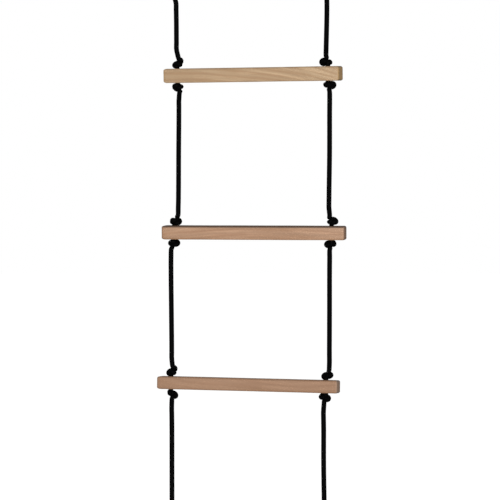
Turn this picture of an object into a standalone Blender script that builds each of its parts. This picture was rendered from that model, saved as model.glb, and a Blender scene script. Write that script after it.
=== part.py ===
"""Escape rope ladder: square wooden rungs knotted onto two ropes that hang from snap hooks.

Metres, +Z up. The rungs run along X, the ladder's front faces -Y, and the origin is midway
between the two points where the snap hooks hang, at the inside of their top bows.
"""

import math

import bmesh
import bpy
from mathutils import Euler, Matrix, Vector

GAP = 0.0003  # between pieces that touch
PIVOT_SIZE = 0.02  # of the cross that marks a joint axis

# Rope and its knots
ROPE_RADIUS = 0.0045
ROPE_SIDES = 2  # bevel resolution of a rope
ROPE_STEP = 0.020  # distance between the rings of a rope
FINE_STEP = 0.004  # distance between the points that a rope's route is first worked out at
KNOT_RADIUS = 0.0105  # height of an overhand knot is twice this
KNOT_HALF_WIDTH = 0.0115
KNOT_WAIST = 0.06  # share by which its middle is slimmer than its two lobes
KNOT_CLEARANCE = 0.0006  # from a knot to the rung it is pulled up against
ROPE_START = KNOT_RADIUS + 0.0007  # from a knot's centre to where the free rope starts
OPEN_END_CLEARANCE = 0.0020  # more room where the right rope of a swaying bay isn't joined to its knot
EYE_KNOT_RADIUS = 0.0125
EYE_KNOT_HALF_HEIGHT = 0.0130
TAIL_LENGTH = 0.038

# Rungs
RUNG_LENGTH = 0.348
RUNG_DEPTH = 0.027
RUNG_EDGE_RADIUS = 0.0028
HOLE_PITCH = 0.300
HOLE_RADIUS = 0.0050
HOLE_CUTTER_HALF_LENGTH = 0.030

# Snap hooks: bent round bar with a wide top bow, a narrow bottom bow and a sprung gate
HOOK_SPACING = 0.298
ROD_RADIUS = 0.0040
TOP_BOW_RADIUS = 0.0140
BOTTOM_BOW_RADIUS = 0.0095
HOOK_INSIDE_LENGTH = 0.064
NOSE_AT = 0.0060  # these four are measured down the gate's flank from the top bow
GATE_TOP_AT = 0.0065
GATE_PIN_AT = 0.0400
SHOULDER_AT = 0.0441
GATE_RADIUS = 0.0036
GATE_RIM_CHAMFER = 0.0005
GATE_PIN_RADIUS = 0.0012
GATE_PIN_HALF_LENGTH = 0.0040
GATE_PIN_HOLE_RADIUS = 0.0015
GATE_PIN_CUTTER_HALF_LENGTH = 0.010
LUG_RADIUS = 0.0030
LUG_HALF_THICKNESS = 0.0014
LUG_INTO_BAR = 0.0020
TONGUE_HALF_WIDTH = 0.0020
TONGUE_ABOVE = 0.0025  # the nose's tongue, from the gate's top up into the bar
TONGUE_BELOW = 0.0030  # and down into the gate
SLOT_HALF_WIDTH = 0.0017
SLOT_OVERSIZE = 0.0020  # by which a slot's cutter is wider than the gate
LUG_SLOT_DEPTH = 0.0036
NOSE_SLOT_DEPTH = 0.0037
SPRING_BORE_RADIUS = 0.0022
SPRING_BORE_FROM = 0.0030  # these are measured up the gate from its pin
SPRING_BORE_TO = 0.0190
SPRING_FROM = 0.0084
SPRING_HEIGHT = 0.0100
PLUNGER_TOP = 0.0078
SPRING_RADIUS = 0.0015
SPRING_WIRE_RADIUS = 0.0003
SPRING_TURNS = 6
POINTS_PER_TURN = 10

# Rope eyes
EYE_KNOT_BELOW_ROD = 0.053
EYE_RADIUS = ROD_RADIUS + GAP + ROPE_RADIUS
EYE_STEP = 0.005  # distance between the rings of an eye
EYE_NARROW_HEIGHT = 0.008  # the eye's legs run side by side this far above its knot
EYE_WIDENS_BELOW = 0.012  # and have parted this far below the hook's bar

# Each rung: the point midway between its holes, section height, how far the bar sits to the
# right of its holes, how far its right end turns to the front, how far its right end drops,
# and how far its top leans to the front (degrees).
RUNGS = (
    {
        "centre": (0.0021, 0.0, -0.2838),
        "height": 0.0270,
        "off": 0.0005,
        "turn": 6.5,
        "drop": 0.6,
        "lean": 4.0,
    },
    {
        "centre": (0.0032, 0.0, -0.5795),
        "height": 0.0262,
        "off": 0.0022,
        "turn": -2.0,
        "drop": 0.3,
        "lean": 3.0,
    },
    {
        "centre": (-0.0056, 0.0, -0.8640),
        "height": 0.0240,
        "off": 0.0,
        "turn": 1.2,
        "drop": 0.6,
        "lean": -1.0,
    },
    {
        "centre": (-0.0040, 0.0, -1.1550),
        "height": 0.0262,
        "off": 0.0,
        "turn": 0.0,
        "drop": 0.2,
        "lean": 0.0,
    },
)

# Each free stretch of rope, from its upper knot to its lower one: (share of the way,
# sideways offset) of the points that it passes, because a rope leaves a knot off centre.
ROPE_ROUTES = {
    ("left", 1): ((0, 0), (0.12, 0.0026), (0.4, 0.002), (0.7, 0.0004), (0.88, -0.0004), (1, 0)),
    ("right", 1): ((0, 0), (0.12, -0.003), (0.4, -0.003), (0.7, -0.0034), (0.88, -0.0034), (1, 0)),
    ("left", 2): (
        (0, 0), (0.06, 0.0026), (0.2, 0.0038), (0.5, 0.0052), (0.8, 0.0068), (0.94, 0.0064), (1, 0),
    ),
    ("right", 2): (
        (0, 0), (0.06, 0.0022), (0.22, 0.0012), (0.5, -0.0006), (0.8, -0.0034), (0.94, -0.004),
        (1, 0),
    ),
    ("left", 3): (
        (0, 0), (0.06, -0.0058), (0.2, -0.0056), (0.5, -0.003), (0.8, -0.0004), (0.94, 0.0004),
        (1, 0),
    ),
    ("right", 3): (
        (0, 0), (0.06, -0.0026), (0.2, -0.0018), (0.5, 0.0012), (0.8, 0.004), (0.94, 0.005), (1, 0),
    ),
    ("left", 4): ((0, 0), (0.06, 0.0012), (0.25, 0.0017), (0.6, 0.0014), (0.94, 0.001), (1, 0)),
    ("right", 4): (
        (0, 0), (0.06, -0.0044), (0.25, -0.0048), (0.5, -0.0055), (0.8, -0.0052), (0.94, -0.0044),
        (1, 0),
    ),
}

SIDES = (("left", -1), ("right", 1))


# ---------------------------------------------------------------- placing


def rung_matrix(rung):
    """The rung's own frame: X along it, Z up through its holes."""
    degrees = (rung["lean"], rung["drop"], -rung["turn"])
    turned = Euler([math.radians(angle) for angle in degrees], "XYZ")
    return Matrix.Translation(rung["centre"]) @ turned.to_matrix().to_4x4()


def knot_offset(rung):
    """From a rung's centre line to the centres of the knots above and below it."""
    return rung["height"] / 2 + KNOT_CLEARANCE + KNOT_RADIUS


def knot_line(rung, above):
    """The point midway between a rung's two upper or two lower knots: a fold's axis runs through it."""
    return rung_matrix(rung) @ Vector((0, 0, knot_offset(rung) * (1 if above else -1)))


def knot_centre(rung, side, above):
    across = side * HOLE_PITCH / 2
    return rung_matrix(rung) @ Vector((across, 0, knot_offset(rung) * (1 if above else -1)))


def rod_centre(side):
    """Where a rope's eye hangs in its hook: the middle of the bar in the bottom bow."""
    return Vector((side * HOOK_SPACING / 2, 0, -HOOK_INSIDE_LENGTH - ROD_RADIUS))


def eye_knot_centre(side):
    return rod_centre(side) - Vector((0, 0, EYE_KNOT_BELOW_ROD))


def pivot(name, position, parent=None):
    """An empty on a joint's axis, which the moving pieces are parented to."""
    empty = bpy.data.objects.new(name, None)
    empty.empty_display_size = PIVOT_SIZE
    bpy.context.scene.collection.objects.link(empty)
    empty.matrix_world = Matrix.Translation(position)
    attach(empty, parent)
    return empty


def attach(child, parent):
    bpy.context.view_layer.update()
    if parent is not None:
        child.parent = parent
        child.matrix_parent_inverse = parent.matrix_world.inverted()


# ---------------------------------------------------------------- making


def material(name, colour, roughness, metallic=0.0):
    made = bpy.data.materials.new(name)
    made.use_nodes = True
    shader = made.node_tree.nodes["Principled BSDF"]
    shader.inputs["Base Color"].default_value = (*colour, 1.0)
    shader.inputs["Roughness"].default_value = roughness
    shader.inputs["Metallic"].default_value = metallic
    return made


def add_object(name, data, finish, parent, matrix=None):
    made = bpy.data.objects.new(name, data)
    bpy.context.scene.collection.objects.link(made)
    if not data.materials:
        data.materials.append(finish)
    if matrix is not None:
        made.matrix_world = matrix
    attach(made, parent)
    return made


def mesh_from(bm, name, smooth_angle=40.0):
    """A mesh from a bmesh, faces out, smooth except at sharp edges."""
    bmesh.ops.recalc_face_normals(bm, faces=bm.faces)
    mesh = bpy.data.meshes.new(name)
    bm.to_mesh(mesh)
    bm.free()
    mesh.shade_smooth()
    mesh.set_sharp_from_angle(angle=math.radians(smooth_angle))
    return mesh


def turned_mesh(name, profile, sides):
    """A solid turned about Z from (radius, height) points that start and end on the axis."""
    bm = bmesh.new()
    rings = []
    for radius, height in profile:
        turns = 1 if radius == 0 else sides
        angles = [2 * math.pi * i / turns for i in range(turns)]
        rings.append([bm.verts.new((radius * math.cos(a), radius * math.sin(a), height)) for a in angles])
    for low, high in zip(rings, rings[1:]):
        for i in range(sides):
            below = [low[i % len(low)], low[(i + 1) % len(low)]]
            over = [high[(i + 1) % len(high)], high[i % len(high)]]
            bm.faces.new(list(dict.fromkeys(below + over)))
    return mesh_from(bm, name)


def swept_mesh(name, points, radius, sides):
    """A round bar along points, with flat ends square to it."""
    bm = bmesh.new()
    rings = []
    normal = Vector((0, 1, 0))
    for i, point in enumerate(points):
        ahead = (points[min(i + 1, len(points) - 1)] - points[max(i - 1, 0)]).normalized()
        normal = (normal - ahead * normal.dot(ahead)).normalized()
        across = ahead.cross(normal)
        angles = [2 * math.pi * (k + 0.5) / sides for k in range(sides)]
        offsets = [(normal * math.cos(a) + across * math.sin(a)) * radius for a in angles]
        rings.append([bm.verts.new(point + offset) for offset in offsets])
    for near, far in zip(rings, rings[1:]):
        for k in range(sides):
            bm.faces.new((near[k], near[(k + 1) % sides], far[(k + 1) % sides], far[k]))
    bm.faces.new(rings[0])
    bm.faces.new(reversed(rings[-1]))
    return mesh_from(bm, name)


def box_mesh(name, low, high):
    bm = bmesh.new()
    bmesh.ops.create_cube(bm, size=1.0)
    low, high = Vector(low), Vector(high)
    for vert in bm.verts:
        vert.co = [a + (b - a) * (c + 0.5) for a, b, c in zip(low, high, vert.co)]
    return mesh_from(bm, name)


def cylinder_mesh(name, radius, low, high, sides=24):
    return turned_mesh(name, ((0, low), (radius, low), (radius, high), (0, high)), sides)


def boolean(target, tool, operation="DIFFERENCE"):
    """Cuts or joins another object, which is kept as a hidden guide."""
    tool.hide_render = True
    tool.display_type = "WIRE"
    cut = target.modifiers.new(tool.name, "BOOLEAN")
    cut.operation = operation
    cut.solver = "EXACT"
    cut.object = tool


def smooth_curve(points, step):
    """Points about a step apart on the Catmull-Rom curve through the given points."""
    ends = [2 * points[0] - points[1], *points, 2 * points[-1] - points[-2]]
    found = []
    for before, start, end, after in zip(ends, ends[1:], ends[2:], ends[3:]):
        count = max(1, round((end - start).length / step))
        for i in range(count):
            t = i / count
            found.append(
                0.5
                * (
                    2 * start
                    + (end - before) * t
                    + (2 * before - 5 * start + 4 * end - after) * t**2
                    + (3 * start - before - 3 * end + after) * t**3
                )
            )
    return found + [points[-1]]


def rope_curve(name, points):
    """A rope: a round tube along points, closed at both ends."""
    curve = bpy.data.curves.new(name, "CURVE")
    curve.dimensions = "3D"
    curve.bevel_depth = ROPE_RADIUS
    curve.bevel_resolution = ROPE_SIDES
    curve.use_fill_caps = True
    spline = curve.splines.new("POLY")
    spline.points.add(len(points) - 1)
    for place, point in zip(spline.points, points):
        place.co = (*point, 1.0)
    return curve


def add_rope(name, points, finish, parent):
    """A rope whose origin is its parent's pivot."""
    start = parent.matrix_world.translation
    matrix = Matrix.Translation(start)
    return add_object(name, rope_curve(name, [p - start for p in points]), finish, parent, matrix)


# ---------------------------------------------------------------- rope, knots and eyes


def between_knots(upper, lower, route, first, last):
    """A free stretch's points, from first below the upper knot's centre to last above the lower one."""
    passed = [upper.lerp(lower, share) + Vector((aside, 0, 0)) for share, aside in route]
    whole = smooth_curve(passed, FINE_STEP)
    kept = [p for p in whole if upper.z - p.z > first and p.z - lower.z > last]
    start = kept[0].copy()
    start.z = upper.z - first
    end = kept[-1].copy()
    end.z = lower.z + last
    inner = [p for p in kept if start.z - p.z > ROPE_STEP / 2 and p.z - end.z > ROPE_STEP / 2]
    return smooth_curve([start, *inner[:: round(ROPE_STEP / FINE_STEP)], end], ROPE_STEP)


def knot_mesh():
    """An overhand knot's outer shape: two round lobes side by side, turned about X."""
    across = 10
    profile = []
    for i in range(across + 1):
        angle = math.pi * i / across
        waist = 1 - KNOT_WAIST * math.sin(angle) ** 6
        radius = KNOT_RADIUS * math.sin(angle) * waist if 0 < i < across else 0
        profile.append((radius, -KNOT_HALF_WIDTH * math.cos(angle)))
    mesh = turned_mesh("overhand_knot", profile, 14)
    mesh.transform(Matrix.Rotation(math.pi / 2, 4, "Y"))
    return mesh


def eye_knot_mesh():
    """The barrel of turns that closes a rope's eye."""
    rows = 8
    profile = []
    for i in range(rows + 1):
        angle = math.pi * i / rows
        radius = EYE_KNOT_RADIUS * math.sin(angle) if 0 < i < rows else 0
        profile.append((radius, -EYE_KNOT_HALF_HEIGHT * math.cos(angle)))
    return turned_mesh("eye_knot", profile, 14)


def eye_points(side):
    """The rope's eye: up from its knot, round the hook's bar and down again, seen from the side."""
    rod = rod_centre(side)
    foot = eye_knot_centre(side).z + EYE_KNOT_HALF_HEIGHT + 2 * GAP
    leg = ROPE_RADIUS + GAP / 2
    narrow = leg + GAP
    wide = EYE_RADIUS - 2 * GAP
    flank = [
        Vector((rod.x, leg, foot)),
        Vector((rod.x, narrow, foot + EYE_NARROW_HEIGHT)),
        Vector((rod.x, wide, rod.z - EYE_WIDENS_BELOW)),
    ]
    bow = []
    steps = 8
    for i in range(steps + 1):
        angle = math.pi * i / steps
        bow.append(rod + Vector((0, EYE_RADIUS * math.cos(angle), EYE_RADIUS * math.sin(angle))))
    back = [Vector((p.x, -p.y, p.z)) for p in reversed(flank)]
    return smooth_curve([*flank, *bow, *back], EYE_STEP)


# ---------------------------------------------------------------- rungs


def add_rung(number, rung, finish, parent, cutter_mesh):
    """A square bar with rounded edges and a hole near each end for the ropes."""
    name = f"rung_{number}"
    half = Vector((RUNG_LENGTH, RUNG_DEPTH, rung["height"])) / 2
    shift = Vector((rung["off"], 0, 0))
    made = add_object(name, box_mesh(name, shift - half, shift + half), finish, parent, rung_matrix(rung))
    rounding = made.modifiers.new("rounded_edges", "BEVEL")
    rounding.width = RUNG_EDGE_RADIUS
    rounding.segments = 3
    rounding.limit_method = "ANGLE"
    for side_name, side in SIDES:
        place = rung_matrix(rung) @ Matrix.Translation((side * HOLE_PITCH / 2, 0, 0))
        cutter = add_object(f"{name}_{side_name}_hole", cutter_mesh, finish, made, place)
        boolean(made, cutter)
    return made


def rope_in_rung_points(rung, side):
    reach = rung["height"] / 2 + GAP
    ends = [Vector((side * HOLE_PITCH / 2, 0, z)) for z in (reach, 0, -reach)]
    return [rung_matrix(rung) @ p for p in ends]


# ---------------------------------------------------------------- snap hooks


def flank_slope():
    """How far the flanks close in towards the bottom, as an angle."""
    between_bows = HOOK_INSIDE_LENGTH + 2 * ROD_RADIUS - TOP_BOW_RADIUS - BOTTOM_BOW_RADIUS
    return math.asin((TOP_BOW_RADIUS - BOTTOM_BOW_RADIUS) / between_bows)


def bow_centres():
    """The centres of the top and bottom bows' bent middles, with the hanging point at z = 0."""
    top = Vector((0, 0, ROD_RADIUS - TOP_BOW_RADIUS))
    bottom = Vector((0, 0, -HOOK_INSIDE_LENGTH - ROD_RADIUS + BOTTOM_BOW_RADIUS))
    return top, bottom


def on_gate_flank(distance):
    """A point down the middle of the gate's flank, on the +X side."""
    slope = flank_slope()
    top, _ = bow_centres()
    start = top + TOP_BOW_RADIUS * Vector((math.cos(slope), 0, -math.sin(slope)))
    return start + distance * Vector((-math.sin(slope), 0, -math.cos(slope)))


def hook_bar_points():
    """The bar's middle line: nose, top bow, spine, bottom bow, and up to the gate's shoulder."""
    slope = flank_slope()
    top, bottom = bow_centres()
    bows = (
        (top, TOP_BOW_RADIUS, -slope, math.pi + 2 * slope, 14),
        (bottom, BOTTOM_BOW_RADIUS, math.pi + slope, math.pi - 2 * slope, 12),
    )
    points = [on_gate_flank(NOSE_AT)]
    for centre, radius, first, turn, steps in bows:
        for i in range(steps + 1):
            angle = first + turn * i / steps
            points.append(centre + radius * Vector((math.cos(angle), 0, math.sin(angle))))
    return points + [on_gate_flank(SHOULDER_AT)]


def mirrored(mesh, side):
    """The hook is drawn with its gate at +X; the left one is its mirror image."""
    if side < 0:
        mesh.transform(Matrix.Scale(-1, 4, (1, 0, 0)))
        mesh.flip_normals()
    return mesh


def along_gate(distance):
    """A frame whose Z runs up the gate's middle line, at this distance down the flank."""
    return Matrix.Translation(on_gate_flank(distance)) @ Matrix.Rotation(flank_slope(), 4, "Y")


def across_gate(distance):
    """A frame whose Z runs through the hook from front to back, for pins and lugs."""
    return along_gate(distance) @ Matrix.Rotation(math.pi / 2, 4, "X")


def hook_piece(name, mesh, frame, side, finish, parent, hidden=False):
    """One piece of a hook, drawn in a frame of the gate's flank and moved to its own side."""
    mesh.transform(frame)
    place = Matrix.Translation((side * HOOK_SPACING / 2, 0, 0))
    made = add_object(name, mirrored(mesh, side), finish, parent, place)
    made.hide_render = hidden
    return made


def add_hook_body(name, side, finish, parent):
    """The bent bar, with a flat lug for the gate at one end and a flat nose at the other."""
    still = Matrix.Identity(4)
    bar_mesh = swept_mesh(name, hook_bar_points(), ROD_RADIUS, 12)
    bar = hook_piece(name, bar_mesh, still, side, finish, parent)
    thick = LUG_HALF_THICKNESS
    neck_low = (-LUG_RADIUS, -thick, GATE_PIN_AT - SHOULDER_AT - LUG_INTO_BAR)
    lug_neck = box_mesh("lug_neck", neck_low, (LUG_RADIUS, thick, 0))
    lug_round = cylinder_mesh("lug_round", LUG_RADIUS, -thick, thick)
    tongue_low = (-TONGUE_HALF_WIDTH, -thick, -TONGUE_BELOW)
    nose = box_mesh("nose_tongue", tongue_low, (TONGUE_HALF_WIDTH, thick, TONGUE_ABOVE))
    reach = GATE_PIN_CUTTER_HALF_LENGTH
    pin_hole = cylinder_mesh("pin_hole", GATE_PIN_HOLE_RADIUS, -reach, reach, 16)
    tools = (
        ("lug_neck", lug_neck, along_gate(GATE_PIN_AT), "UNION"),
        ("lug_round", lug_round, across_gate(GATE_PIN_AT), "UNION"),
        ("nose_tongue", nose, along_gate(GATE_TOP_AT), "UNION"),
        ("lug_hole", pin_hole, across_gate(GATE_PIN_AT), "DIFFERENCE"),
    )
    for tool_name, mesh, frame, operation in tools:
        tool = hook_piece(f"{name}_{tool_name}", mesh, frame, side, finish, bar, hidden=True)
        boolean(bar, tool, operation)
    return bar


def gate_profile():
    """The gate's outline about its own axis, with a round end about its pin at z = 0."""
    steps = 5
    round_end = []
    for i in range(steps + 1):
        angle = math.pi / 2 * i / steps
        round_end.append((GATE_RADIUS * math.sin(angle), -GATE_RADIUS * math.cos(angle)))
    top = GATE_PIN_AT - GATE_TOP_AT
    rim = [(GATE_RADIUS, top - GATE_RIM_CHAMFER), (GATE_RADIUS - GATE_RIM_CHAMFER, top), (0, top)]
    return round_end + rim


def add_gate(name, side, finish, parent):
    """A round gate, forked over the lug and over the nose, bored for its spring."""
    frame = along_gate(GATE_PIN_AT)
    gate = hook_piece(name, turned_mesh(name, gate_profile(), 20), frame, side, finish, parent)
    wide = GATE_RADIUS + SLOT_OVERSIZE
    half = SLOT_HALF_WIDTH
    top = GATE_PIN_AT - GATE_TOP_AT
    lug_slot = box_mesh("lug_slot", (-wide, -half, -wide), (wide, half, LUG_SLOT_DEPTH))
    nose_low = (-wide, -half, top - NOSE_SLOT_DEPTH)
    nose_slot = box_mesh("nose_slot", nose_low, (wide, half, top + SLOT_OVERSIZE))
    bore = cylinder_mesh("spring_bore", SPRING_BORE_RADIUS, SPRING_BORE_FROM, SPRING_BORE_TO, 16)
    reach = GATE_PIN_CUTTER_HALF_LENGTH
    hole = cylinder_mesh("gate_pin_hole", GATE_PIN_HOLE_RADIUS, -reach, reach, 16)
    tools = (
        ("lug_slot", lug_slot, frame),
        ("nose_slot", nose_slot, frame),
        ("spring_bore", bore, frame),
        ("pin_hole", hole, across_gate(GATE_PIN_AT)),
    )
    for tool_name, mesh, place in tools:
        tool = hook_piece(f"{name}_{tool_name}", mesh, place, side, finish, gate, hidden=True)
        boolean(gate, tool)
    return gate


def spring_points():
    """The helix of the gate's compression spring, in the gate's own frame."""
    steps = SPRING_TURNS * POINTS_PER_TURN
    points = []
    for i in range(steps + 1):
        angle = 2 * math.pi * i / POINTS_PER_TURN
        radial = SPRING_RADIUS * Vector((math.cos(angle), math.sin(angle), 0))
        points.append(radial + Vector((0, 0, SPRING_FROM + SPRING_HEIGHT * i / steps)))
    return points


def plunger_profile():
    """A short push pin with a round tip that bears on the lug."""
    tip = LUG_RADIUS + GAP
    radius = SPRING_BORE_RADIUS - GAP
    dome = [(0, tip), (0.6 * radius, tip + 0.2 * radius), (radius, tip + 0.7 * radius)]
    return [*dome, (radius, PLUNGER_TOP), (0, PLUNGER_TOP)]


def add_hook(side_name, side, finishes, root, gate_axis):
    """One snap hook with its gate, gate pin, spring and push pin."""
    steel, spring_steel = finishes
    frame = along_gate(GATE_PIN_AT)
    add_hook_body(f"hook_body_{side_name}", side, steel, root)
    reach = GATE_PIN_HALF_LENGTH
    pin = cylinder_mesh("gate_pin", GATE_PIN_RADIUS, -reach, reach, 16)
    hook_piece(f"gate_pin_{side_name}", pin, across_gate(GATE_PIN_AT), side, steel, root)
    add_gate(f"hook_gate_{side_name}", side, steel, gate_axis)
    spring = swept_mesh("gate_spring", spring_points(), SPRING_WIRE_RADIUS, 5)
    hook_piece(f"gate_spring_{side_name}", spring, frame, side, spring_steel, gate_axis)
    plunger = turned_mesh("gate_plunger", plunger_profile(), 12)
    hook_piece(f"gate_plunger_{side_name}", plunger, frame, side, steel, gate_axis)


# ---------------------------------------------------------------- assembly


def clear_scene():
    for thing in list(bpy.data.objects):
        bpy.data.objects.remove(thing, do_unlink=True)


def add_hooks_and_eyes(finishes, knot_shape):
    """The fixed hooks, and the eyes that swing in their bottom bows."""
    rope, steel, spring_steel = finishes
    root = pivot("hanging_points", (0, 0, 0))
    for side_name, side in SIDES:
        pin = on_gate_flank(GATE_PIN_AT)
        at = Vector((side * (HOOK_SPACING / 2 + pin.x), 0, pin.z))
        gate_axis = pivot(f"gate_axis_{side_name}", at, root)
        add_hook(side_name, side, (steel, spring_steel), root, gate_axis)
    swing = pivot("ladder_swing_axis", (0, 0, rod_centre(1).z), root)
    for side_name, side in SIDES:
        add_rope(f"rope_eye_{side_name}", eye_points(side), rope, swing)
        place = Matrix.Translation(eye_knot_centre(side))
        add_object(f"eye_knot_{side_name}", knot_shape, rope, swing, place)
    return swing


def add_knots(number, rung, above, finish, shape, parent):
    """The pair of overhand knots pulled up against one face of a rung."""
    for side_name, side in SIDES:
        place = rung_matrix(rung)
        place.translation = knot_centre(rung, side, above)
        where = "upper" if above else "lower"
        add_object(f"knot_{number}_{where}_{side_name}", shape, finish, parent, place)


def add_bay(number, rung, above, finishes, meshes, hanger):
    """The two ropes above a rung, its knots and the rung itself.

    above holds the centres that the ropes hang from and how far below them they start.
    """
    wood, rope = finishes
    knot_shape, cutter_mesh = meshes
    tops, first = above
    for side_name, side in SIDES:
        lower = knot_centre(rung, side, True)
        sway = pivot(f"sway_axis_{number}_{side_name}", tops[side], hanger)
        last = ROPE_START + (OPEN_END_CLEARANCE if side > 0 else 0)
        points = between_knots(tops[side], lower, ROPE_ROUTES[side_name, number], first, last)
        add_rope(f"rope_{number}_{side_name}", points, rope, sway)
        if side < 0:
            level = pivot(f"level_axis_{number}", lower, sway)
    add_knots(number, rung, True, rope, knot_shape, level)
    fold = pivot(f"fold_axis_{number}_upper", knot_line(rung, True), level)
    made = add_rung(number, rung, wood, fold, cutter_mesh)
    for side_name, side in SIDES:
        add_rope(f"rope_in_rung_{number}_{side_name}", rope_in_rung_points(rung, side), rope, made)
    return made


def tail_points(rung, side):
    """The short end of a rope below the last knot, hanging straight down."""
    knot = knot_centre(rung, side, False)
    top = ROPE_START
    lengths = (top, top + TAIL_LENGTH / 2, top + TAIL_LENGTH)
    return [knot - Vector((0, 0, length)) for length in lengths]


def build():
    clear_scene()
    wood = material("beech", (0.52, 0.34, 0.21), 0.55)
    rope = material("black_rope", (0.012, 0.012, 0.013), 0.8)
    steel = material("zinc_plated_steel", (0.62, 0.63, 0.65), 0.3, 1.0)
    spring_steel = material("spring_steel", (0.45, 0.46, 0.48), 0.35, 1.0)
    knot_shape = knot_mesh()
    reach = HOLE_CUTTER_HALF_LENGTH
    cutter_mesh = cylinder_mesh("rope_hole", HOLE_RADIUS, -reach, reach, 16)

    hanger = add_hooks_and_eyes((rope, steel, spring_steel), eye_knot_mesh())
    above = ({side: eye_knot_centre(side) for _, side in SIDES}, EYE_KNOT_HALF_HEIGHT + 2 * GAP)
    for number, rung in enumerate(RUNGS, 1):
        made = add_bay(number, rung, above, (wood, rope), (knot_shape, cutter_mesh), hanger)
        last = number == len(RUNGS)
        hanger = made if last else pivot(f"fold_axis_{number}_lower", knot_line(rung, False), made)
        add_knots(number, rung, False, rope, knot_shape, hanger)
        above = ({side: knot_centre(rung, side, False) for _, side in SIDES}, ROPE_START)
    for side_name, side in SIDES:
        add_rope(f"rope_tail_{side_name}", tail_points(RUNGS[-1], side), rope, hanger)


build()
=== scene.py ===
"""Escape rope ladder: the looks of the wooden rungs, the knotted black ropes and the snap hooks.

Metres, in the row frame: +Z up, rungs along X, the front faces -Y.
"""

import math

import bmesh
import bpy
import numpy as np
from mathutils import Euler, Matrix, Vector


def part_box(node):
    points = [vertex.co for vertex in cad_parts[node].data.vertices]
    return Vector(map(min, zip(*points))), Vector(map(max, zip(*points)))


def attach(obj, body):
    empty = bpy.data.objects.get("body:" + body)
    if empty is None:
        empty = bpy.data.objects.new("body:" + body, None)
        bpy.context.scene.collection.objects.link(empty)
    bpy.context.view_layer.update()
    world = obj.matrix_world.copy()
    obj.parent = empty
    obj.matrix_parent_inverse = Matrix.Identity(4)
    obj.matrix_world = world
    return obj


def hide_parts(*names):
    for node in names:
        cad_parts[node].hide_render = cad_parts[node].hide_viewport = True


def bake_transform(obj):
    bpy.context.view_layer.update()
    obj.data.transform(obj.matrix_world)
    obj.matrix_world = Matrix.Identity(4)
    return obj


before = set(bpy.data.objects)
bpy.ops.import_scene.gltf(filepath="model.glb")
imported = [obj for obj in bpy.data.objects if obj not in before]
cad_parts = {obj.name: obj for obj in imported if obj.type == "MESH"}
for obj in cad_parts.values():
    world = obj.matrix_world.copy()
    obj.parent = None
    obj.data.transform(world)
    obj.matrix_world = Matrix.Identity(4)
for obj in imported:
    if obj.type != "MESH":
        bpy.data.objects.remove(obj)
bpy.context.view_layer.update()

SIDES = (("left", -1), ("right", 1))

# Camera, light and stage
VIEW_AZIMUTH = math.radians(13.5)
VIEW_DISTANCE = 4.5
VIEW_WIDTH = 0.936  # at that distance
VIEW_ASIDE = -0.0015
VIEW_HEIGHT = -0.612
SENSOR = 36.0
LIGHT_PLACE = (1.2, -4.2, -0.55)
LIGHT_AIM = (0, 0, -0.6)
LIGHT_SIZE = (2.2, 1.3)
LIGHT_POWER = 160
WHITE = (1, 1, 1, 1)
STUDIO_LIGHT = 0.42  # strength of the light that comes from the white surroundings
FLOOR_Z = -1.26
FLOOR_RADIUS = 60
FLOOR_TONE = (0.8, 0.8, 0.8, 1)
FLOOR_GLOW = 0.70  # lifts the floor that the camera sees up to the white behind it

# Rope
ROPE = 0.0088  # diameter of the rope
BRAID_RADIUS = 0.0047  # of a free rope with the outer fibres of its braid, which stand a little proud
KNOT_ROPE = 0.0089  # diameter of the same braid where an overhand knot squeezes it
WRAP_ROPE_RADIUS = 0.0041  # where the rope is wound round the legs of its eye
CORE_RADIUS = 0.0043  # inside a rung
PLAITS = 8  # strands of the braid that run each way round
PLAIT_PITCH = 0.0042  # length of one diamond of the braid
PLAIT_HEIGHT = 0.00014
ROPE_SIDES = 32
RING_STEP = PLAIT_PITCH / 4

# Overhand knots
KNOT_SCALE = (0.0066, 0.0066, 0.0054)  # of the tight knot's line, across and along the rope
KNOT_TO_RUNG = 0.0111  # from a knot's middle to the face of its rung
STRAND_REACH = 0.0098  # the free rope follows its knot's strand up to this far from the middle
STRAND_STRIDE = 4  # and takes up every fourth point of it
ROPE_INTO_KNOT = 0.0032  # the free rope goes in to this far from the knot's middle
CORE_INTO_KNOT = 0.0080  # how far the rope inside a rung comes out of it, into its knots
LOBE_MARGIN = 0.0015  # a strand that has passed a lobe's top by this much is inside the knot
SQUEEZED_END = 0.0030  # at each knotted end a free rope is squeezed over this length
SWELLING_END = 0.0090  # and swells to its full thickness over this length after it
SQUEEZE_SLACK = 0.00008
CLEAR_OF_KNOT = 0.017  # a free rope's own route keeps this far from the middles of its knots
ROUTE_STEP = 0.012

# Eyes: the wraps of an eye's knot and the rope's hanging end, from the knot's middle, and the eye's
# legs as (half their distance, height above the hook's bar).
WRAP_RADIUS = 0.0082
WRAP_TURNS = 2.7
WRAP_STEPS = 60
WRAPS_HALF_HEIGHT = 0.0086
HANGING_END = ((0, 0.0088, -0.0195), (0, 0.0087, -0.0155), (0.0004, 0.0085, -0.0115))
EYE_LEGS = ((0.0050, -0.0335), (0.0059, -0.0220), (0.0083, -0.0115))
EYE_FOOT = 0.0047  # half the distance between the legs inside the knot
EYE_FOOT_ABOVE = 0.0060  # the knot's middle
EYE_BOW_RADIUS = 0.0088
EYE_BOW_STEPS = 12
LEAVES_EYE_KNOT = (0.004, 0.008, 0.012)  # points of the rope below the middle of an eye's knot

# Tails: heights of their points from the middle of the last knot, and above their lower end.
TAIL_HEART = (0.007, 0.002)
TAIL_DROP = (-0.022, -0.034)
TAIL_END_ABOVE = 0.002

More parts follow.
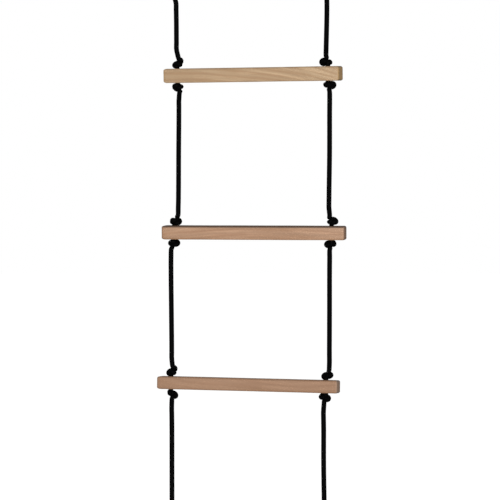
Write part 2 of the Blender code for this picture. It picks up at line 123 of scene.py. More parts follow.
# Rungs: section height, how far the bar sits to the right of its holes, and how far its right
# end turns to the front, its right end drops and its top leans to the front (degrees).
RUNG_LENGTH = 0.348
RUNG_DEPTH = 0.027
RUNG_EDGE_RADIUS = 0.0036
END_EASING = 0.0030  # how much lower the bar is at its end faces
END_LENGTHS = (0.0062, 0.0036)  # over which the left and the right end are rounded down
HOLE_PITCH = 0.300
HOLE_RADIUS = 0.0050
HOLE_EASING = 0.0009  # of the holes' rims
DRILL_BEYOND = 0.004
RUNGS = (
    {"height": 0.0270, "off": 0.0005, "turn": 6.5, "drop": 0.6, "lean": 4.0},
    {"height": 0.0262, "off": 0.0022, "turn": -2.0, "drop": 0.3, "lean": 3.0},
    {"height": 0.0240, "off": 0.0, "turn": 1.2, "drop": 0.6, "lean": -1.0},
    {"height": 0.0262, "off": 0.0, "turn": 0.0, "drop": 0.2, "lean": 0.0},
)

# Each rung's wood: palest and darkest tones, end grain and the painted shade round its rim, how the growth
# rings climb along the bar and how that changes, how strong they show, how much shade is painted along the
# top edge.
WOODS = (
    {
        "light": (0.435, 0.305, 0.184), "dark": (0.382, 0.252, 0.146), "end": (0.330, 0.200, 0.080),
        "rim": (0.120, 0.090, 0.060), "slant": -0.11, "bend": -0.50, "figure": 0.55, "top_edge_shade": 0.15,
    },
    {
        "light": (0.376, 0.222, 0.134), "dark": (0.332, 0.188, 0.108), "end": (0.190, 0.105, 0.062),
        "rim": (0.075, 0.050, 0.036), "slant": 0.02, "bend": -0.25, "figure": 0.50, "top_edge_shade": 0.85,
    },
    {
        "light": (0.324, 0.188, 0.113), "dark": (0.284, 0.158, 0.091), "end": (0.260, 0.165, 0.110),
        "rim": (0.120, 0.115, 0.120), "slant": -0.07, "bend": 0.30, "figure": 0.24, "top_edge_shade": 0.20,
    },
    {
        "light": (0.440, 0.285, 0.170), "dark": (0.385, 0.240, 0.140), "end": (0.280, 0.175, 0.090),
        "rim": (0.120, 0.090, 0.065), "slant": 0.05, "bend": 0.20, "figure": 0.45, "top_edge_shade": 0.20,
    },
)
RINGS_PER_METRE = 300.0
PITH_BEHIND = 0.045
PITH_BELOW = 0.040

# Each free rope between the middles of its two knots: (share of the way down, sideways offset).
ROPE_ROUTES = {
    ("left", 1): ((0.12, 0.0026), (0.4, 0.002), (0.7, 0.0004), (0.88, -0.0004)),
    ("right", 1): ((0.12, -0.003), (0.4, -0.003), (0.7, -0.0034), (0.88, -0.0034)),
    ("left", 2): ((0.06, 0.0026), (0.2, 0.0038), (0.5, 0.0052), (0.8, 0.0068), (0.94, 0.0064)),
    ("right", 2): ((0.06, 0.0022), (0.22, 0.0012), (0.5, -0.0006), (0.8, -0.0034), (0.94, -0.004)),
    ("left", 3): ((0.06, -0.0058), (0.2, -0.0056), (0.5, -0.003), (0.8, -0.0004), (0.94, 0.0004)),
    ("right", 3): ((0.06, -0.0026), (0.2, -0.0018), (0.5, 0.0012), (0.8, 0.004), (0.94, 0.005)),
    ("left", 4): ((0.06, 0.0012), (0.25, 0.0017), (0.6, 0.0014), (0.94, 0.001)),
    ("right", 4): ((0.06, -0.0044), (0.25, -0.0048), (0.5, -0.0055), (0.8, -0.0052), (0.94, -0.0044)),
}

# How each overhand knot lies: its turn about the rope and its tilt in degrees, whether it is tied
# the other way round, and how far it sits to the right of its hole.
KNOTS = {
    (1, "upper", "left"): (140, -24, True, 0.0035),
    (1, "lower", "left"): (20, 12, False, 0.0030),
    (1, "upper", "right"): (320, -12, False, -0.0020),
    (1, "lower", "right"): (320, -12, True, 0.0010),
    (2, "upper", "left"): (120, 24, False, 0.0020),
    (2, "lower", "left"): (100, 24, False, 0.0),
    (2, "upper", "right"): (180, 0, False, -0.0010),
    (2, "lower", "right"): (120, 12, True, -0.0010),
    (3, "upper", "left"): (140, -24, True, 0.0035),
    (3, "lower", "left"): (280, 12, False, 0.0030),
    (3, "upper", "right"): (100, 12, True, 0.0020),
    (3, "lower", "right"): (260, 0, False, -0.0035),
    (4, "upper", "left"): (140, -12, True, 0.0025),
    (4, "lower", "left"): (20, 12, False, 0.0020),
    (4, "upper", "right"): (180, 0, False, -0.0010),
    (4, "lower", "right"): (260, 0, False, -0.0030),
}

# Snap hooks
HOOK_SPACING = 0.298
ROD_RADIUS = 0.0040
ROD_SIDES = 32
ROD_DOME = 0.22  # height of the bar's ends, in its radii
TOP_BOW_RADIUS = 0.0140
BOTTOM_BOW_RADIUS = 0.0095
TOP_BOW_STEPS = 40
BOTTOM_BOW_STEPS = 32
HOOK_INSIDE_LENGTH = 0.064
NOSE_AT = 0.0060  # these four are measured down the gate's flank from the top bow
GATE_TOP_AT = 0.0065
GATE_PIN_AT = 0.0400
SHOULDER_AT = 0.0441
GATE_RADIUS = 0.0036
GATE_DOME_STEPS = 9
GATE_EDGE = 0.0006  # rounding of the gate's upper edge
LUG_RADIUS = 0.0030
LUG_HALF_THICKNESS = 0.0014
LUG_INTO_BAR = 0.0020
LUG_EDGE = 0.0003
TONGUE_HALF_WIDTH = 0.0020
TONGUE_ABOVE = 0.0025  # the nose's tongue, from the gate's top up into the bar
TONGUE_BELOW = 0.0030  # and down into the gate
SLOT_HALF_WIDTH = 0.0017
SLOT_OVERSIZE = 0.0020  # by which a slot's cutter is wider than the gate
LUG_SLOT_DEPTH = 0.0036
NOSE_SLOT_DEPTH = 0.0037
PIN_HOLE_RADIUS = 0.0014
PIN_HOLE_REACH = 0.0100
PIN_RADIUS = 0.00125
PIN_CROWN_RADIUS = 0.0010
PIN_CROWN_EDGE = 0.00005
PIN_HEAD_HEIGHT = 0.0003
PIN_HALF_LENGTH = 0.0040
SPRING_BORE_RADIUS = 0.0022
SPRING_BORE_FROM = 0.0030  # these are measured up the gate from its pin
SPRING_BORE_TO = 0.0190
SPRING_FROM = 0.0084
SPRING_HEIGHT = 0.0100
PLUNGER_TIP = 0.0033
PLUNGER_TOP = 0.0078
PLUNGER_RADIUS = 0.0019
PLUNGER_EDGE = 0.0002
PLUNGER_DOME = ((0, 0), (0.4, 0.0001), (0.75, 0.0005), (1, 0.0013))  # (share of the radius, height)
SPRING_RADIUS = 0.0015
SPRING_WIRE_RADIUS = 0.0003
SPRING_WIRE_SIDES = 8
SPRING_TURNS = 6
SPRING_TURN_STEPS = 24

# Roundness of turned pieces, and the angle above which an edge is sharp
FINE_SIDES = 40
COARSE_SIDES = 24
MELTED_SIDES = 32
SHARP_EDGE = math.radians(35.0)


# ---- camera, light and stage


def add_object(name, data):
    thing = bpy.data.objects.new(name, data)
    bpy.context.scene.collection.objects.link(thing)
    return thing


def add_camera():
    """Level, from a little to the right of the ladder's front."""
    sideways = Vector((math.cos(VIEW_AZIMUTH), math.sin(VIEW_AZIMUTH), 0))
    forward = Vector((-math.sin(VIEW_AZIMUTH), math.cos(VIEW_AZIMUTH), 0))
    data = bpy.data.cameras.new("camera")
    data.sensor_width = SENSOR
    data.lens = SENSOR * VIEW_DISTANCE / VIEW_WIDTH
    data.clip_end = 2 * FLOOR_RADIUS
    camera = add_object("camera", data)
    camera.location = VIEW_ASIDE * sideways + Vector((0, 0, VIEW_HEIGHT)) - VIEW_DISTANCE * forward
    camera.rotation_mode = "QUATERNION"
    camera.rotation_quaternion = forward.to_track_quat("-Z", "Y")
    bpy.context.scene.camera = camera


def add_front_light():
    """One large soft light in front of the ladder, a little to the right."""
    data = bpy.data.lights.new("front_light", "AREA")
    data.shape = "RECTANGLE"
    data.size, data.size_y = LIGHT_SIZE
    data.energy = LIGHT_POWER
    light = add_object("front_light", data)
    light.location = LIGHT_PLACE
    light.rotation_mode = "QUATERNION"
    light.rotation_quaternion = (Vector(LIGHT_AIM) - Vector(LIGHT_PLACE)).to_track_quat("-Z", "Y")


def seen_or_lit(tree, seen, lit):
    """Picks the first shader where the camera looks at the surface, and the second for its light."""
    path = tree.nodes.new("ShaderNodeLightPath")
    mix = tree.nodes.new("ShaderNodeMixShader")
    tree.links.new(path.outputs["Is Camera Ray"], mix.inputs["Fac"])
    tree.links.new(lit, mix.inputs[1])
    tree.links.new(seen, mix.inputs[2])
    return mix.outputs[0]


def add_world():
    """A white studio, dimmer as a light than it looks."""
    world = bpy.data.worlds.new("studio")
    bpy.context.scene.world = world
    world.use_nodes = True
    tree = world.node_tree
    seen = tree.nodes["Background"]
    seen.inputs["Color"].default_value = WHITE
    seen.inputs["Strength"].default_value = 1.0
    lit = tree.nodes.new("ShaderNodeBackground")
    lit.inputs["Color"].default_value = WHITE
    lit.inputs["Strength"].default_value = STUDIO_LIGHT
    out = seen_or_lit(tree, seen.outputs[0], lit.outputs[0])
    tree.links.new(out, tree.nodes["World Output"].inputs["Surface"])


def matt_shader(tree):
    matt = tree.nodes.new("ShaderNodeBsdfDiffuse")
    matt.inputs["Color"].default_value = FLOOR_TONE
    return matt.outputs[0]


def floor_paint():
    paint = bpy.data.materials.new("floor_paint")
    paint.use_nodes = True
    tree = paint.node_tree
    tree.nodes.clear()
    out = tree.nodes.new("ShaderNodeOutputMaterial")
    glow = tree.nodes.new("ShaderNodeEmission")
    glow.inputs["Strength"].default_value = FLOOR_GLOW
    both = tree.nodes.new("ShaderNodeAddShader")
    tree.links.new(matt_shader(tree), both.inputs[0])
    tree.links.new(glow.outputs[0], both.inputs[1])
    tree.links.new(seen_or_lit(tree, both.outputs[0], matt_shader(tree)), out.inputs["Surface"])
    return paint


def add_floor():
    bm = bmesh.new()
    bmesh.ops.create_circle(bm, cap_ends=True, segments=96, radius=FLOOR_RADIUS)
    mesh = bpy.data.meshes.new("floor")
    bm.to_mesh(mesh)
    bm.free()
    mesh.materials.append(floor_paint())
    floor = add_object("floor", mesh)
    floor.location.z = FLOOR_Z


# ---- materials


class Paint:
    """A material with a Principled shader, and short ways to add nodes to it."""

    def __init__(self, name):
        self.material = bpy.data.materials.new(name)
        self.material.use_nodes = True
        self.tree = self.material.node_tree
        self.shader = self.tree.nodes["Principled BSDF"]

    def set(self, name, value):
        self.shader.inputs[name].default_value = value

    def link(self, output, name):
        self.tree.links.new(output, self.shader.inputs[name])

    def add(self, kind, inputs):
        """A new node. Each input is another node's output or a fixed value."""
        node = self.tree.nodes.new(kind)
        self.put(node, inputs)
        return node

    def put(self, node, inputs):
        for key, value in inputs.items():
            if isinstance(value, bpy.types.NodeSocket):
                self.tree.links.new(value, node.inputs[key])
            else:
                node.inputs[key].default_value = value

    def math(self, operation, *values):
        node = self.add("ShaderNodeMath", dict(enumerate(values)))
        node.operation = operation
        return node.outputs[0]

    def vector(self, operation, *values):
        node = self.add("ShaderNodeVectorMath", dict(enumerate(values)))
        node.operation = operation
        return node.outputs["Value" if operation == "LENGTH" else "Vector"]

    def coordinates(self, output):
        return self.add("ShaderNodeTexCoord", {}).outputs[output]

    def split(self, vector):
        return self.add("ShaderNodeSeparateXYZ", {0: vector}).outputs

    def join(self, x, y, z):
        return self.add("ShaderNodeCombineXYZ", {0: x, 1: y, 2: z}).outputs[0]

    def noise(self, vector, scale=1.0, detail=2.0, roughness=0.5):
        inputs = {"Vector": vector, "Scale": scale, "Detail": detail, "Roughness": roughness}
        return self.add("ShaderNodeTexNoise", inputs).outputs["Fac"]

    def between(self, value, low, high, to_low=0.0, to_high=1.0):
        """value, moved smoothly from the range low..high to the range to_low..to_high."""
        ranges = {"From Min": low, "From Max": high, "To Min": to_low, "To Max": to_high}
        node = self.add("ShaderNodeMapRange", {"Value": value, **ranges})
        node.interpolation_type = "SMOOTHSTEP"
        return node.outputs["Result"]

    def mix(self, factor, first, second):
        """A colour between the first one and the second one."""
        node = self.add("ShaderNodeMix", {0: factor})
        node.data_type = "RGBA"
        sockets = [socket for socket in node.inputs if socket.type == "RGBA"]
        for socket, colour in zip(sockets, (first, second)):
            if isinstance(colour, bpy.types.NodeSocket):
                self.tree.links.new(colour, socket)
            else:
                socket.default_value = (*colour, 1.0)
        return next(socket for socket in node.outputs if socket.type == "RGBA")

    def bump(self, height, distance, strength):
        inputs = {"Height": height, "Distance": distance, "Strength": strength}
        return self.add("ShaderNodeBump", inputs).outputs["Normal"]


def shade(colour, factor):
    return tuple(min(1.0, part * factor) for part in colour)


def beech_figure(paint, wood, seed):
    """Where the growth rings, streaks, fibres, ray flecks and clouds of the wood are, from 0 to 1."""
    place = paint.coordinates("Object")
    x, y, z = paint.split(place)
    slant = paint.math("ADD", wood["slant"], paint.math("MULTIPLY", x, wood["bend"]))
    place = paint.join(x, y, paint.math("SUBTRACT", z, paint.math("MULTIPLY", x, slant)))
    moved = paint.vector("ADD", place, (seed * 1.37, seed * 0.61, seed * 0.83))

    def stretched(along, across, **detail):
        return paint.noise(paint.vector("MULTIPLY", moved, (along, across, across)), **detail)

    behind = PITH_BEHIND + 0.01 * math.sin(seed)
    below = PITH_BELOW - 0.01 * math.cos(seed)
    pith = paint.join(0.0, behind, -below)
    flat = paint.vector("MULTIPLY", place, (0.035, 1.0, 1.0))
    radius = paint.vector("LENGTH", paint.vector("SUBTRACT", flat, pith))
    wander = paint.math("MULTIPLY", stretched(7.0, 30.0, detail=3.0), 4.5)
    ring = paint.math("ADD", paint.math("MULTIPLY", radius, RINGS_PER_METRE), wander)
    rings = paint.between(paint.math("PINGPONG", ring, 1.0), 0.25, 0.95)
    streak = stretched(10.0, 240.0, detail=3.0)
    fibre = stretched(14.0, 900.0, detail=4.0, roughness=0.6)
    fleck = paint.between(stretched(330.0, 1500.0, detail=1.0), 0.66, 0.73)
    cloud = stretched(9.0, 22.0, detail=2.0)
    return {"rings": rings, "streak": streak, "fibre": fibre, "fleck": fleck, "cloud": cloud}


def beech_face(paint, wood, rings, streak, fibre, fleck, cloud):
    """The colour of a planed face."""
    light, dark, figure = wood["light"], wood["dark"], wood["figure"]
    warm = tuple(part * factor for part, factor in zip(dark, (0.86, 0.77, 0.68)))
    tone = paint.mix(paint.between(cloud, 0.30, 0.70), light, dark)
    tone = paint.mix(paint.math("MULTIPLY", rings, figure), tone, warm)
    tone = paint.mix(paint.between(streak, 0.50, 0.68, 0.0, 1.40 * figure), tone, shade(light, 1.16))
    tone = paint.mix(paint.between(streak, 0.47, 0.30, 0.0, 1.10 * figure), tone, shade(dark, 0.82))
    tone = paint.mix(paint.between(fibre, 0.48, 0.70, 0.0, 0.24), tone, shade(dark, 0.72))
    return paint.mix(paint.math("MULTIPLY", fleck, 0.42), tone, shade(dark, 0.50))


def beech(name, wood, seed, half_height):
    """Planed beech with painted shade along its upper edges, duller end grain and painted shade round the
    rim of its end faces.
    """
    paint = Paint(name)
    figure = beech_figure(paint, wood, seed)
    tone = beech_face(paint, wood, **figure)

    _, y, z = paint.split(paint.coordinates("Object"))
    up = paint.math("DIVIDE", z, half_height)
    behind = paint.math("DIVIDE", y, RUNG_DEPTH / 2)
    facing = paint.math("ABSOLUTE", paint.split(paint.coordinates("Normal"))[0])
    # Painted shade: the bar is darkened along its top edge, where less of the front light falls.
    tone = paint.mix(paint.between(up, 0.66, 0.84, 0.0, wood["top_edge_shade"]), tone, (0.050, 0.030, 0.020))
    end_grain = paint.between(facing, 0.08, 0.42)
    tone = paint.mix(paint.math("MULTIPLY", end_grain, 0.85), tone, wood["end"])
    # Painted shade: the end faces are darkened round their rim, where the rounded edges turn away from the
    # light.
    rim = paint.between(paint.math("MAXIMUM", behind, paint.math("ABSOLUTE", up)), 0.70, 0.96)
    rim = paint.math("MULTIPLY", rim, paint.between(facing, 0.15, 0.60))
    tone = paint.mix(paint.math("MULTIPLY", rim, 0.75), tone, wood["rim"])
    paint.link(tone, "Base Color")

    fibre = figure["fibre"]
    rough = paint.between(fibre, 0.30, 0.75, 0.46, 0.60)
    paint.link(paint.math("ADD", rough, paint.math("MULTIPLY", end_grain, 0.15)), "Roughness")
    paint.set("Specular IOR Level", 0.35)
    grain = paint.math("SUBTRACT", fibre, paint.math("MULTIPLY", figure["fleck"], 0.5))
    paint.link(paint.bump(grain, 0.00012, 0.55), "Normal")
    return paint.material


def black_braid(name):
    """Black braided cord: each diamond shows the fibres of the strand on top of it."""
    paint = Paint(name)
    around, along, _ = paint.split(paint.coordinates("UV"))
    turned = paint.math("MULTIPLY", around, float(PLAITS))
    run = paint.math("DIVIDE", along, PLAIT_PITCH)
    one_way = paint.math("ADD", turned, run)
    other_way = paint.math("SUBTRACT", turned, run)
    cells = paint.math("ADD", paint.math("FLOOR", one_way), paint.math("FLOOR", other_way))
    on_top = paint.math("MODULO", paint.math("ADD", cells, 1000.0), 2.0)
    across = paint.add("ShaderNodeMix", {0: on_top, 2: one_way, 3: other_way}).outputs[0]
    fibres = paint.math("SINE", paint.math("MULTIPLY", across, 2 * math.pi * 5))
    place = paint.coordinates("Object")
    fuzz = paint.noise(place, scale=2600.0, detail=3.0, roughness=0.7)
    dust = paint.noise(place, scale=70.0, detail=3.0)
    height = paint.math("ADD", paint.math("MULTIPLY", fibres, 0.35), fuzz)
    lift = paint.between(fuzz, 0.45, 0.80)
    tone = paint.mix(lift, (0.0006, 0.0006, 0.0007), (0.0022, 0.0022, 0.0025))
    tone = paint.mix(paint.between(dust, 0.55, 0.80, 0.0, 0.35), tone, (0.0030, 0.0030, 0.0032))
    paint.link(tone, "Base Color")
    paint.link(paint.between(fuzz, 0.3, 0.8, 0.52, 0.74), "Roughness")
    paint.set("Specular IOR Level", 0.025)
    paint.link(paint.bump(height, 0.00010, 0.6), "Normal")
    return paint.material


def plated_steel(name, colour, roughness):
    """Zinc-plated steel: soft blotches in the plating, fine scratches and slight wear."""
    paint = Paint(name)
    place = paint.coordinates("Object")
    blotch = paint.noise(place, scale=160.0, detail=4.0, roughness=0.6)
    grind = paint.noise(paint.vector("MULTIPLY", place, (2600.0, 2600.0, 260.0)), detail=2.0)
    tone = paint.mix(paint.between(blotch, 0.35, 0.70), colour, shade(colour, 0.82))
    paint.link(tone, "Base Color")
    paint.set("Metallic", 1.0)
    varied = paint.between(blotch, 0.30, 0.75, roughness - 0.07, roughness + 0.10)
    paint.link(paint.math("ADD", varied, paint.math("MULTIPLY", grind, 0.08)), "Roughness")
    paint.link(paint.bump(grind, 0.00003, 0.35), "Normal")
    return paint.material


def melted_cord(name):
    """Cord that was cut hot: its fibres are fused into a smooth, slightly blistered black skin."""
    paint = Paint(name)
    place = paint.coordinates("Object")
    blisters = paint.noise(place, scale=420.0, detail=3.0, roughness=0.55)
    soot = paint.noise(place, scale=190.0, detail=2.0)
    tone = paint.mix(paint.between(soot, 0.40, 0.70), (0.0050, 0.0050, 0.0054), (0.0085, 0.0083, 0.0084))
    paint.link(tone, "Base Color")
    paint.link(paint.between(blisters, 0.35, 0.70, 0.28, 0.46), "Roughness")
    paint.set("Specular IOR Level", 0.12)
    paint.link(paint.bump(blisters, 0.00025, 0.6), "Normal")
    return paint.material


# ---- lines and tubes


def smooth_line(points, step):
    """Evenly spaced points about a step apart on the Catmull-Rom curve through the given points."""
    points = np.array([list(p) for p in points], float)
    ends = np.concatenate([[2 * points[0] - points[1]], points, [2 * points[-1] - points[-2]]])
    t = np.linspace(0, 1, 24, endpoint=False)[:, None]
    dense = []
    for before, start, end, after in zip(ends, ends[1:], ends[2:], ends[3:]):
        square = 2 * before - 5 * start + 4 * end - after
        cube = 3 * start - before - 3 * end + after
        dense.append(start + 0.5 * ((end - before) * t + square * t**2 + cube * t**3))
    return even_line(np.concatenate([*dense, points[-1:]]), step)


def arc(radius, first, turn, steps):
    """(x, y) points of an arc about the origin, from the angle first on."""
    angles = [first + turn * i / steps for i in range(steps + 1)]
    return [(radius * math.cos(angle), radius * math.sin(angle)) for angle in angles]


def helix(radius, first, turns, steps, low, high):
    """Points of a helix about Z that climbs from low to high."""
    points = arc(radius, first, 2 * math.pi * turns, steps)
    return [(x, y, low + (high - low) * i / steps) for i, (x, y) in enumerate(points)]


def distances(line):
    """How far along the line each of its points is."""
    return np.concatenate([[0], np.cumsum(np.linalg.norm(np.diff(line, axis=0), axis=1))])


def length_of(line):
    return float(distances(line)[-1])


def even_line(points, step):
    """The same line with evenly spaced points about a step apart."""
    far = distances(points)
    at = np.linspace(0, far[-1], max(2, round(far[-1] / step) + 1))
    return np.stack([np.interp(at, far, points[:, k]) for k in range(3)], axis=1)


def frames_along(line):
    """Tangent, normal and binormal at each point, without any twist between neighbours."""
    ahead = np.gradient(line, axis=0)
    ahead /= np.linalg.norm(ahead, axis=1)[:, None]
    normal = np.array([0.0, 1.0, 0.0])
    if abs(normal @ ahead[0]) > 0.9:
        normal = np.array([1.0, 0.0, 0.0])
    normals = []
    for t in ahead:
        normal = normal - t * (normal @ t)
        normal = normal / np.linalg.norm(normal)
        normals.append(normal)
    normals = np.array(normals)
    return ahead, normals, np.cross(ahead, normals)


def tube_rings(radii, dome):
    """Each ring's point on the line, how far beyond it the ring is, and its radius, domes included."""
    angles = np.radians([82.0, 60.0, 38.0, 18.0])
    last = len(radii) - 1
    start = [(0, -math.sin(a) * dome * radii[0], math.cos(a) * radii[0]) for a in angles]
    end = [(last, math.sin(a) * dome * radii[-1], math.cos(a) * radii[-1]) for a in angles[::-1]]
    rings = np.array([*start, *((i, 0.0, radius) for i, radius in enumerate(radii)), *end])
    return rings[:, 0].astype(int), rings[:, 1], rings[:, 2]


def add_braid_uv(mesh, along, i, k, sides):
    """Turns round the tube and metres along it, at each corner of its quads and its two caps."""
    corners = ((k, i), (k + 1, i), (k + 1, i + 1), (k, i + 1))
    uv = np.stack([np.stack([turn / sides, along[ring]], -1) for turn, ring in corners], axis=2)
    turns = np.arange(sides) / sides
    first = np.stack([turns[::-1], np.full(sides, along[0])], -1)
    last = np.stack([turns, np.full(sides, along[-1])], -1)
    layer = mesh.uv_layers.new(name="braid")
    every = np.concatenate([uv.reshape(-1, 2), first, last])
    layer.data.foreach_set("uv", every.astype(np.float32).ravel())


def tube_mesh(name, line, radii, sides, dome=0.6, relief=None):
    """A closed tube with domed ends. relief(around, along) adds height to the surface."""
    ahead, normals, across = frames_along(line)
    index, beyond, radius = tube_rings(np.broadcast_to(radii, (len(line),)).astype(float), dome)
    along = distances(line)[index] + beyond
    around = np.arange(sides) / sides
    reach = np.repeat(radius[:, None], sides, axis=1)
    if relief is not None:
        share = np.minimum(1, radius / radius.max())[:, None]
        reach = reach + relief(around[None, :], along[:, None]) * share
    angle = 2 * np.pi * around
    outwards = normals[index][:, None, :] * np.cos(angle)[None, :, None]
    outwards = outwards + across[index][:, None, :] * np.sin(angle)[None, :, None]
    centre = line[index] + ahead[index] * beyond[:, None]
    verts = (centre[:, None, :] + reach[..., None] * outwards).reshape(-1, 3)
    count = len(index)
    i, k = np.meshgrid(np.arange(count - 1), np.arange(sides), indexing="ij")
    low, high, after = i * sides, (i + 1) * sides, (k + 1) % sides
    quads = np.stack([low + k, low + after, high + after, high + k], axis=-1).reshape(-1, 4)
    caps = [list(range(sides))[::-1], list(range((count - 1) * sides, count * sides))]
    mesh = bpy.data.meshes.new(name)
    mesh.from_pydata(verts.tolist(), [], quads.tolist() + caps)
    add_braid_uv(mesh, along, i, k, sides)
    mesh.shade_smooth()
    return mesh


def plaited(around, along):
    """The braid's relief: a raised diamond where each strand crosses over another."""
    one_way = PLAITS * around + along / PLAIT_PITCH
    other_way = PLAITS * around - along / PLAIT_PITCH
    raised = np.abs(np.sin(np.pi * one_way) * np.sin(np.pi * other_way)) ** 0.5
    return PLAIT_HEIGHT * (raised - 0.6)


def add_piece(name, mesh, material, matrix=None):
    piece = add_object(name, mesh)
    mesh.materials.clear()
    mesh.materials.append(material)
    if matrix is not None:
        piece.matrix_world = matrix
    return piece


def ride_for(piece, node, body):
    """The piece stands for the CAD node and moves with the body."""
    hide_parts(node)
    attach(piece, body)


def rope_piece(name, line, material, radii):
    mesh = tube_mesh(name, line, radii, ROPE_SIDES, relief=plaited)
    return add_piece(name, mesh, material)


# ---- the overhand knot


def loose_knot(count):
    """The line of a loose overhand knot: a three-lobed loop, cut open, with its ends up and down."""
    opening, size, lead, end = 0.15, 0.75, 3.5, 6.0
    t = np.linspace(opening, 2 * np.pi - opening, 600)
    lobed = 2 + np.cos(3 * t)
    loop = size * np.stack([lobed * np.cos(2 * t), lobed * np.sin(2 * t), np.sin(3 * t)], axis=1)
    bend = np.array([0, 0, 0.6])
    x, y, _ = loop[0]
    from_below = [[0, 0, -end], [x, y, -lead], loop[0] - bend]
    x, y, _ = loop[-1]
    to_above = [loop[-1] + bend, [x, y, lead], [0, 0, end]]
    whole = np.concatenate([from_below, loop, to_above])
    return even_line(whole, length_of(whole) / (count - 1))


def straighten(line, span, least_chord):
    """Stiffness: opens up each stretch of span points whose chord is shorter than least_chord."""
    chord = line[span:] - line[:-span]
    size = np.linalg.norm(chord, axis=1, keepdims=True)
    open_up = np.clip(least_chord - size, 0, None) * chord / size * 0.25
    line[span:] += open_up
    line[:-span] -= open_up


def push_apart(line, strangers, thickness):
    """Thickness: moves points that belong to different strands out of each other."""
    apart = line[:, None] - line[None]
    far = np.sqrt((apart**2).sum(2))
    one, other = np.nonzero(strangers & (far < thickness))
    if not len(one):
        return
    gap = far[one, other][:, None]
    push = 0.5 * (thickness - gap) * apart[one, other] / np.maximum(gap, 1e-9)
    moved = np.zeros_like(line)
    touches = np.zeros(len(line))
    np.add.at(moved, one, push)
    np.add.at(moved, other, -push)
    np.add.at(touches, one, 1)
    np.add.at(touches, other, 1)
    line += moved / np.maximum(touches, 1)[:, None]


def flatten(line, half_gap):
    """The rung: presses the lobes down to half_gap from the middle, but not the rope's own ends."""
    lobes = np.clip((np.hypot(line[:, 0], line[:, 1]) - 0.5) / 0.3, 0, 1)
    over = np.clip(np.abs(line[:, 2]) - half_gap, 0, 0.3) * np.sign(line[:, 2])
    line[:, 2] -= 0.5 * lobes * over


def tight_knot():
    """An overhand knot pulled tight on a rope one unit thick, squeezed between its ends.

    The line shortens like a stretched thread, while its own thickness, its stiffness and the rung
    that it is pulled against push it back.
    """
    rounds = 600
    thickness = 0.76
    step, fine_step = 0.22, 0.132
    line = loose_knot(300)
    ends = line[[0, -1]].copy()
    for r in range(rounds):
        line = even_line(line, step if r < 0.7 * rounds else fine_step)
        spacing = length_of(line) / (len(line) - 1)
        pull = min(1.0, step / spacing)
        line[1:-1] += 0.5 * (0.5 * (line[2:] + line[:-2]) - line[1:-1]) * pull
        order = np.arange(len(line))
        strangers = np.triu((order[None] - order[:, None]) > 1.45 / spacing)
        span = round(1.0 / spacing)
        for _ in range(4):
            straighten(line, span, 0.82 * span * spacing)
            push_apart(line, strangers, thickness)
            if r > rounds / 4:
                flatten(line, 0.95)
            line[0], line[-1] = ends
    return line


# ---- places


def middle_of(node):
    low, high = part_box(node)
    return (low + high) / 2


def rung_frame(number):
    """The rung's own frame: X along it, Z up through its holes, the origin midway between them."""
    rung = RUNGS[number - 1]
    degrees = (rung["lean"], rung["drop"], -rung["turn"])
    turned = Euler([math.radians(angle) for angle in degrees], "XYZ").to_matrix().to_4x4()
    aside = turned @ Vector((rung["off"], 0, 0))
    return Matrix.Translation(middle_of(f"rung_{number}") - aside) @ turned


def lobes_end(height):
    """How far a knot's lobes reach on the side where a line starts, and where its strand goes in."""
    first = int(np.argmax(np.diff(height) > 0))
    top = height[first:].max()
    return top, int(np.argmax(height < top - LOBE_MARGIN))


def placed_knot(number, where, side_name, shape):
    """A knot's middle and its line, from the rung outwards, as it was tied and drawn up tight."""
    turn, tilt, mirrored, aside = KNOTS[number, where, side_name]
    centre = middle_of(f"knot_{number}_{where}_{side_name}")
    line = shape * np.array((-1 if mirrored else 1, 1, 1))
    for angle, axis in ((turn, "Z"), (tilt, "Y")):
        line = line @ np.array(Matrix.Rotation(math.radians(angle), 3, axis)).T
    towards = -1 if where == "upper" else 1
    if towards * line[0, 2] < towards * line[-1, 2]:
        line = line[::-1]
    top, cut = lobes_end(towards * line[:, 2])
    line[:, 2] += towards * (KNOT_TO_RUNG - KNOT_ROPE / 2 - top)
    return centre, line[cut:] + np.array(centre + Vector((aside, 0, 0)))


def rope_side(centre, line):
    """The knot's strand on the side of the free rope, from inside the knot outwards."""
    height = np.abs(line[:, 2] - centre.z)
    inner = len(line) - int(np.argmax(height[::-1] < ROPE_INTO_KNOT))
    return line[inner:][height[inner:] < STRAND_REACH]


# ---- ropes and knots


def add_knot(key, knots, material, body):
    """An overhand knot, whose strands end inside it, where the next ropes take over."""
    number, where, side_name = key
    centre, line = knots[key]
    height = (line[::-1, 2] - centre.z) * (1 if line[-1, 2] > centre.z else -1)
    _, cut = lobes_end(height)
    line = even_line(line[: len(line) - cut], RING_STEP)
    piece = rope_piece(f"overhand_{number}_{where}_{side_name}", line, material, KNOT_ROPE / 2)
    ride_for(piece, f"knot_{number}_{where}_{side_name}", body)
    return piece


def free_rope_radii(line, knotted):
    """Radii along a free rope, which is squeezed at those of its two ends that are in a knot."""
    far = distances(line)
    share = np.ones(len(line))
    for held, distance in zip(knotted, (far, far[-1] - far)):
        if held:
            t = np.clip((distance - SQUEEZED_END) / SWELLING_END, 0, 1)
            share = np.minimum(share, t * t * (3 - 2 * t))
    squeezed = KNOT_ROPE / 2 + SQUEEZE_SLACK
    return squeezed + (BRAID_RADIUS - squeezed) * share


